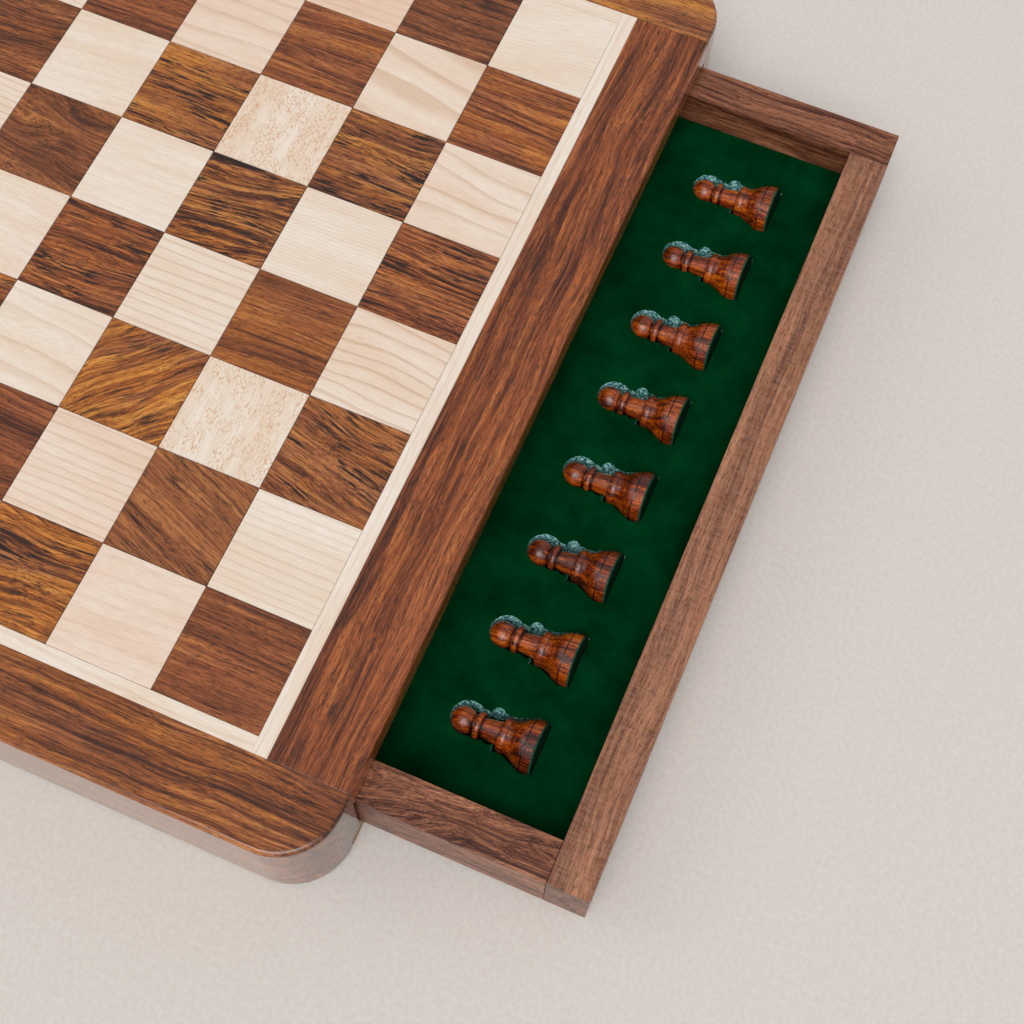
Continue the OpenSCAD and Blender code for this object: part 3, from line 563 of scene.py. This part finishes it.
# The rim green and the three pale wall colours below are painted highlights.
velvet = flock("green_rayon_flock", "#00270f", "#013a1b", "#0b5a3c",
               ("#0f4a42", "#69aeaa", "#ccf5f2"), Roughness=1.0, Specular_IOR_Level=0.0,
               Sheen_Weight=0.03, Sheen_Roughness=0.5, Sheen_Tint=linear("#1fa070"))
print("made", [one.name for one in (birch, green_felt, disc_felt, felt_edge_highlight, velvet)])

# %% [markdown]
# ## The case
# Near and far rails run the full width, so they carry the rounded corners. The right and left
# top rails butt between them over the drawers, with their grain along Y. Each board is listed
# with the direction of its grain in degrees, the number of its plank, its figure and its grain.

# %% Build the case
CASE_BOARDS = {
    "near_rail": (0, 11, (0.07, 0.4, 0.6), (5, 1.1, 0.1)),
    "far_rail": (0, 12, (0.24, 0.3, 1.2), (4, 1.2, 0)),
    "right_top_rail": (90, 13, (0.1, 0.5, 0.25), (5, 1.0, 0.45)),
    "left_top_rail": (90, 14, (0.05, 0.4, 0.35), (5, 1.0, 0.3)),
}
for node, (degrees, number, figure, grain) in CASE_BOARDS.items():
    board(node, degrees, number, figure, grain, box_sheesham)

STRIPS = {"near_border_strip": 0, "far_border_strip": 0, "right_border_strip": 90,
          "left_border_strip": 90}
for number, (node, degrees) in enumerate(STRIPS.items()):
    board(node, degrees, 20 + number, (3, 0, 0), (3, 0.3, 0), box_maple, slot="maple",
          ease_mm=THIN_EASE_MM)

for node in ("board_core", "centre_partition", "base_panel"):
    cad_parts[node].data.materials[0] = birch
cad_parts["base_felt"].data.materials[0] = green_felt
print("case boards:", len(CASE_BOARDS) + len(STRIPS))

# %% [markdown]
# ## The sixty-four squares
# Each square was cut from whatever offcut came to hand, so neighbours differ. Dark ones run from
# plain brown to striped and black-marked, most with their grain along X. Two of the light ones
# that show best were cut the other way and are full of ray flecks.
#
# All squares of a colour are one piece with 32 parts, and each part has a plank of its own. The
# squares that show best are listed by column and row, from 0 at the near left corner, each with
# its direction, figure and grain. The others draw theirs from a random generator whose seed is
# fixed.

# %% Lay the squares
SQUARE_MM = 31
MIDDLE_SQUARE = 4  # the first square past the middle, which is the origin
DARK_FIGURES = {
    (7, 0): (0, (0.12, 0.3, 0.1), (4, 0.9, 0.2)), (7, 2): (-12, (0.2, 1.2, 0.5), (8, 1.2, 0.1)),
    (7, 4): (0, (0.06, 1.0, 0.4), (4, 1.8, 0.4)), (7, 6): (0, (0.1, 0.3, 0.7), (4, 1.3, 0.3)),
    (6, 1): (-20, (0.22, 0.9, 0.1), (5, 0.8, 0)), (6, 3): (3, (0.13, 0.2, 0.5), (4, 0.9, 0.1)),
    (6, 5): (0, (0.14, 1.8, 0.9), (7, 1.3, 0)), (6, 7): (0, (-0.06, 0.8, 0.0), (6, 1.0, 0)),
    (5, 0): (0, (0.07, 1.0, 1.5), (8, 1.6, 0.1)), (5, 2): (47, (0.15, 0.9, 2.2), (12, 1.2, 0.1)),
    (5, 4): (5, (-0.04, 1.4, 0.7), (8, 2.1, 0)), (5, 6): (0, (0.14, 0.4, 0.5), (4, 1.1, 0.2)),
    (4, 1): (0, (0.02, 0.3, 0.1), (5, 1.0, 0.3)), (4, 3): (4, (0.02, 1.4, 0.5), (9, 1.4, 0.3)),
    (4, 5): (0, (0.14, 1.2, 1.1), (6, 1.0, 0)), (3, 4): (-8, (0.06, 0.5, 0.2), (16, 0.9, 0)),
    (3, 6): (0, (0.04, 0.4, 0.2), (4, 1.0, 0.3)), (2, 5): (0, (0.03, 0.4, 0.3), (5, 1.1, 0.1)),
}
LIGHT_FIGURES = {
    (7, 5): (-4, (6, 0, 0), (9, 0.5, 0.3)), (6, 6): (-10, (13, 0, 0), (5, 0.5, 0.3)),
    (7, 3): (-3, (4, 0, 0), (9, 0.6, 0.3)), (7, 1): (0, (2.6, 0, 0), (1, 0.4, 0)),
    (6, 2): (90, (4, 1, 0), (3, 0.1, 0)), (5, 5): (90, (4, 1.5, 0), (3, 0.1, 0.1)),
    (6, 0): (3, (3.4, 0, 0), (6, 0.2, 0.4)), (6, 4): (0, (1.2, 0, 0), (3, 0.35, 0)),
    (5, 1): (0, (2.8, 0, 0), (1, 0.45, 0.4)), (5, 3): (0, (3, 0, 0), (1, 0.5, 0.1)),
    (4, 4): (0, (3.6, 0, 0), (2, 0.15, 0)), (4, 2): (-6, (7, 0, 0), (12, 0.4, 0)),
    (3, 5): (4, (3, 0.2, 0), (2, 0.15, 0)), (5, 7): (0, (3, 0, 0), (2, 0.3, 0.8)),
    (4, 6): (0, (6, 0, 0), (5, 0.4, 0.4)), (7, 7): (8, (1.4, 0, 0), (2, 0.2, 0)),
}


def lay_squares(node, finish, slot, first_plank, figure_of):
    """The squares of one colour, each with its own plank, turn, figure and grain."""
    mesh = eased_mesh(node, THIN_EASE_MM, 1)
    points = corners(mesh)
    cells = np.floor(points[:, :2] / SQUARE_MM).astype(int) + MIDDLE_SQUARE
    wood, figure, grain = [np.zeros_like(points) for _ in range(3)]
    for column, row in sorted(set(map(tuple, cells.tolist()))):
        here = (cells == (column, row)).all(1)
        number = first_plank + 8 * column + row
        degrees, figure[here], grain[here] = figure_of(random.Random(number), (column, row))
        wood[here] = in_plank(points[here], degrees, number)
    store(mesh, "wood", wood)
    store(mesh, "figure", figure)
    store(mesh, "grain", grain)
    made = show(node + "_inlay", mesh, "case", slot, finish, stands_for=[node])
    shade(made)
    return made


def dark_figure(pick, cell):
    """Direction, figure and grain of a dark square."""
    return DARK_FIGURES.get(cell) or (
        pick.uniform(-5, 5), (pick.uniform(0, 0.15), pick.uniform(0.2, 1.2), pick.uniform(0, 1)),
        (pick.uniform(3, 9), pick.uniform(0.9, 1.6), pick.uniform(0, 0.3)))


def light_figure(pick, cell):
    """Direction, figure and grain of a light square."""
    return LIGHT_FIGURES.get(cell) or (
        pick.uniform(-5, 5), (pick.uniform(1.4, 5), pick.choice((0, 0, 0.3)), 0),
        (pick.uniform(1, 6), pick.uniform(0.15, 0.6), pick.uniform(0, 0.6)))


dark = lay_squares("dark_squares", box_sheesham, "dark_sheesham", 3000, dark_figure)
light = lay_squares("light_squares", box_maple, "maple", 4000, light_figure)
print("squares:", dark.name, len(dark.data.vertices), light.name, len(light.data.vertices))

# %% [markdown]
# ## The drawers
# Each drawer has a front and a back with their grain along Y, and two sides butted in turn round
# the corners. The easing of two edges that meet makes the dark line of each joint. The bottom is
# plywood, and the tray of flocked foam drops in on it.
#
# A pocket in soft foam takes the form of the man that is kept in it. The CAD pockets are cut with
# an even gap instead. So the walls of the pawns' pockets are drawn in: beside his head and stem
# they come nearer to him, the round well at his head narrows toward the floor, and behind his
# tilted foot the rim leans out over the gap. The outline that they follow is measured on the man
# himself, seen from above.

# %% Helpers that fit a pocket to its man
def plan_outline(man, side):
    """The outline of a man seen from above, as points: how far each lies from the tip of his head
    toward his foot, and how far out from his axis."""
    points = corners(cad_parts[man].data)
    tip = points[:, 0].min() if side > 0 else points[:, 0].max()
    axis = (points[:, 1].min() + points[:, 1].max()) / 2
    step = 0.25
    bins = np.round(side * (points[:, 0] - tip) / step).astype(int)
    widths = np.zeros(bins.max() + 1)
    np.maximum.at(widths, bins, np.abs(points[:, 1] - axis))
    filled = np.flatnonzero(widths)
    along = np.arange(len(widths)) * step
    out = np.interp(along, along[filled], widths[filled])
    return tip, axis, np.concatenate([np.stack([along, out], 1), np.stack([along, -out], 1)])


# A gap is left beside the man, and the rest of the CAD gap closes by this share. Behind this
# distance from his foot the bell begins, and there the walls stay.
WALL_GAP_MM = 0.45
WALL_DRAWN_IN = 0.6
BELL_MM = 12
# The well: how far its middle lies from the tip of the head and from the axis, and its radius.
# Its arc is as thick as this and ends this far from the tip, and its far side is turned in.
WELL_MM = {"cad": (4.7, 1.0, 5.5), "rim": (5.0, 0.4, 4.95), "floor": (4.6, 0.3, 4.2)}
WELL_WALL_MM = 0.4
WELL_END_MM = 9.2
WELL_TURN = 0.883
# How far the rim leans in behind the foot, and also sideways beyond this distance from the axis.
FOOT_LEAN_MM = 0.5
FOOT_CORNER_MM = 7
# A pocket lies this far round the man's outline: at his head, behind his foot, beside his axis.
POCKET_MM = (3, 1.5, 9)
RIM_MM = 1


def hug(points, side, man):
    """Draws the walls of a man's pocket nearer to him."""
    tip, axis, outline = plan_outline(man, side)
    place = np.stack([side * (points[:, 0] - tip), side * (points[:, 1] - axis)], 1)
    foot = outline[:, 0].max()
    here = np.flatnonzero((place[:, 0] > -POCKET_MM[0]) & (place[:, 0] < foot + POCKET_MM[1])
                          & (np.abs(place[:, 1]) < POCKET_MM[2]))
    place, top = place[here], points[here, 2] > points[:, 2].max() - RIM_MM
    start = place
    reach = outline[None] - place[:, None]
    gaps = np.linalg.norm(reach, axis=2)
    nearest = gaps.argmin(1)
    gap = gaps[np.arange(len(here)), nearest]
    toward = reach[np.arange(len(here)), nearest] / np.maximum(gap, 0.01)[:, None]
    low = ~top & (place[:, 0] < foot - BELL_MM)
    place = place + toward * (low * WALL_DRAWN_IN * np.maximum(gap - WALL_GAP_MM, 0))[:, None]
    old = WELL_MM["cad"]
    radius = np.hypot(start[:, 0] - old[0], start[:, 1] - old[1])
    turn = np.arctan2(start[:, 1] - old[1], old[0] - start[:, 0])
    turn = np.where(turn > 0, turn * WELL_TURN, turn)
    for level, (x, y, size) in ((top, WELL_MM["rim"]), (~top, WELL_MM["floor"])):
        well = level & (np.abs(radius - old[2]) < WELL_WALL_MM) & (start[:, 0] < WELL_END_MM)
        reach = (radius + size - old[2])[well]
        place[well] = np.stack([x - reach * np.cos(turn[well]), y + reach * np.sin(turn[well])], 1)
    end = top & (place[:, 0] > foot - EASE_MM)
    corner = np.abs(place[end, 1]) > FOOT_CORNER_MM
    place[end, 0] -= FOOT_LEAN_MM
    place[end, 1] -= np.sign(place[end, 1]) * FOOT_LEAN_MM * corner
    points[here, 0], points[here, 1] = tip + side * place[:, 0], axis + side * place[:, 1]


print("a well's radius", WELL_MM["cad"][2], "mm becomes", WELL_MM["rim"][2], "mm at its rim and",
      WELL_MM["floor"][2], "mm at its floor")

# %% Build the drawers
DRAWER_BOARDS = {"front": (sawn_sheesham, 90, (0.08, 0.1, 0.3), (4, 0.8, 0.2)),
                 "back": (sawn_sheesham, 90, (0, 0.1, 0.3), (5, 0.9, 0.2)),
                 "near_side": (drawer_sheesham, 6, (-0.06, 0.1, 0.2), (16, 1.15, 0.4)),
                 "far_side": (drawer_sheesham, 0, (-0.04, 0.1, 0.1), (5, 1, 0.4))}
# Each drawer: its name, the way it runs along X, the colour of its men and its first plank.
DRAWERS = (("right_drawer", 1, "dark", 40), ("left_drawer", -1, "light", 50))
for drawer, side, men, first_plank in DRAWERS:
    for number, (part, (finish, degrees, figure, grain)) in enumerate(DRAWER_BOARDS.items()):
        board(f"{drawer}_{part}", degrees, first_plank + number, figure, grain, finish,
              body=drawer)
    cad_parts[f"{drawer}_bottom"].data.materials[0] = birch
    node = f"{drawer}_velvet_tray"
    mesh = eased_mesh(node, EASE_MM, 3)
    points = corners(mesh)
    for number in range(1, 9):
        hug(points, side, f"{men}_pawn_{number}")
    mesh.vertices.foreach_set("co", (points * MM).ravel())
    tray = show(node + "_flocked", mesh, drawer, "green_velvet", velvet, stands_for=[node])
    shade(tray)
    print(node, len(tray.data.vertices), "vertices")

# %% [markdown]
# ## The men
# The men were turned on a lathe from squared sticks, so their grain runs along them. The dark
# ones are sheesham, stained redder and lacquered. The pale ones are boxwood, which is built like
# maple but yellower, and its rings are so close that they show only as a fine grain. Each stands
# on a disc of green felt.
#
# Their shapes are right as they come, so each copy keeps its mesh. What the CAD model lacks is
# each man's own axis. His foot gives it: it is the one big flat face that looks out of the
# drawer. Distances from it tell the felt from the wood and give the place in the stick. Each
# man's figure and grain are drawn from a random generator whose seed is the number of his plank.

# %% Dress the men
LACQUERED = dict(Roughness=0.35, Specular_IOR_Level=0.25, IOR=1.5, Coat_Weight=1.0,
                 Coat_Roughness=0.08, Coat_IOR=1.5)
# The dark men get painted shade in the hollows of their turning.
stained = sheesham("sheesham_red_stain_lacquer",
                   ["#110100", "#2c0900", "#661f01", "#a04004", "#cc640e"],
                   ["#1c0400", "#521800", "#983802", "#c45804", "#dc7a12"], dimpled=12,
                   hollow_shade=0.6, **LACQUERED)
boxwood = maple("boxwood_lacquer", "#dbb880", "#b98c50", "#b08044", **LACQUERED)
FELT_DISC_MM = 0.42
FACING = 0.9  # the cosine from which two directions count as the same


def dress(node, body, slot, finish, side, plank):
    """Puts a man in his wood, with felt on the faces of his disc, and says how far he lies
    tilted."""
    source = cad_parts[node].data
    mesh = source.copy()
    points = corners(mesh)
    count = len(mesh.polygons)
    normals, centres = np.zeros(count * 3, np.float32), np.zeros(count * 3, np.float32)
    areas = np.zeros(count, np.float32)
    mesh.polygons.foreach_get("normal", normals)
    mesh.polygons.foreach_get("center", centres)
    mesh.polygons.foreach_get("area", areas)
    normals, centres = normals.reshape(-1, 3), centres.reshape(-1, 3) / MM
    outward = normals[:, 0] * side > FACING
    keys = np.round(normals[outward], 3)
    kinds, which = np.unique(keys, axis=0, return_inverse=True)
    totals = np.bincount(which.ravel(), areas[outward])
    down = kinds[totals.argmax()]
    down = down / np.linalg.norm(down)
    foot = (points @ down).max()
    across = np.array([0, 1, 0])
    upright = np.cross(down, across)
    local = np.stack([foot - points @ down, points @ across, points @ upright], 1)
    store(mesh, "wood", in_plank(local, 0, plank))
    pick = random.Random(plank)
    figure = (pick.uniform(-0.07, 0.08), pick.uniform(0, 0.4), pick.uniform(0.5, 1.2))
    grain = (pick.uniform(1, 4), 1.1, 0.0)
    store(mesh, "figure", np.tile(figure, (len(points), 1)))
    store(mesh, "grain", np.tile(grain, (len(points), 1)))
    show(node + "_turned", mesh, body, slot, finish, disc_felt, felt_edge_highlight, stands_for=[node])
    on_disc = foot - centres @ down < FELT_DISC_MM
    flat = np.abs(normals @ down) > FACING
    # Faces on the disc that are not flat get the lighter teal of its edge: a painted highlight.
    material_numbers = np.where(on_disc, np.where(flat, 1, 2), 0)
    mesh.polygons.foreach_set("material_index", material_numbers.astype(np.int32))
    return round(float(math.degrees(math.acos(abs(down[0])))), 1)


tilts = {}
for drawer, side, colour, slot, finish, first_plank in (
        ("right_drawer", 1, "dark", "dark_chessmen", stained, 600),
        ("left_drawer", -1, "light", "pale_chessmen", boxwood, 400)):
    men = [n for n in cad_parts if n.startswith(colour + "_") and "squares" not in n]
    for number, node in enumerate(sorted(men)):
        body = node if "pawn" in node else drawer
        tilts[node] = dress(node, body, slot, finish, side, first_plank + number)
print("tilt of each man in degrees:", tilts)
